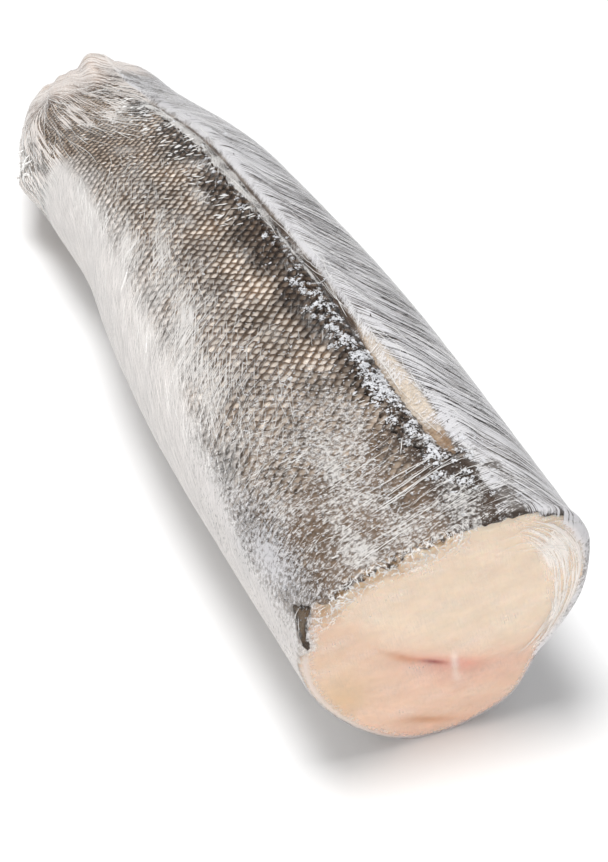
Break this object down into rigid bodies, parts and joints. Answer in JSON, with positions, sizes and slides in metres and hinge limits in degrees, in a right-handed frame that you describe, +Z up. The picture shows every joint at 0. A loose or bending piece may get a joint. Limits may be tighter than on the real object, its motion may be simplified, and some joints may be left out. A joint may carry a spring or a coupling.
{
  "type": "film-wrapped hake trunk",
  "caption": "Frozen headless hake trunk lying on its belly, wrapped tight in clear film: scaly brown-grey back, white belly, flat pink-white cut face, gathered film at the tail end.",
  "frame": {"origin": "on the surface the trunk lies on, under the middle of its bounding box", "axes": "+Y along the trunk from the cut face to the gathered tail end, +Z up, +X to the right seen from the cut face"},
  "size_m": [0.0926, 0.3668, 0.0783],
  "materials": {
    "clear_film": "clear stretch film, tight and glossy, creased, over the fish's skin and flesh",
    "fish_skin": "small overlapping scales, brown-grey on the back and silvery white on the belly, frosted",
    "fish_flesh": "moist frozen white flesh, cream with pink round the backbone"
  },
  "bodies": {
    "root": {"wrapped_trunk": "clear_film"}
  },
  "joints": []
}
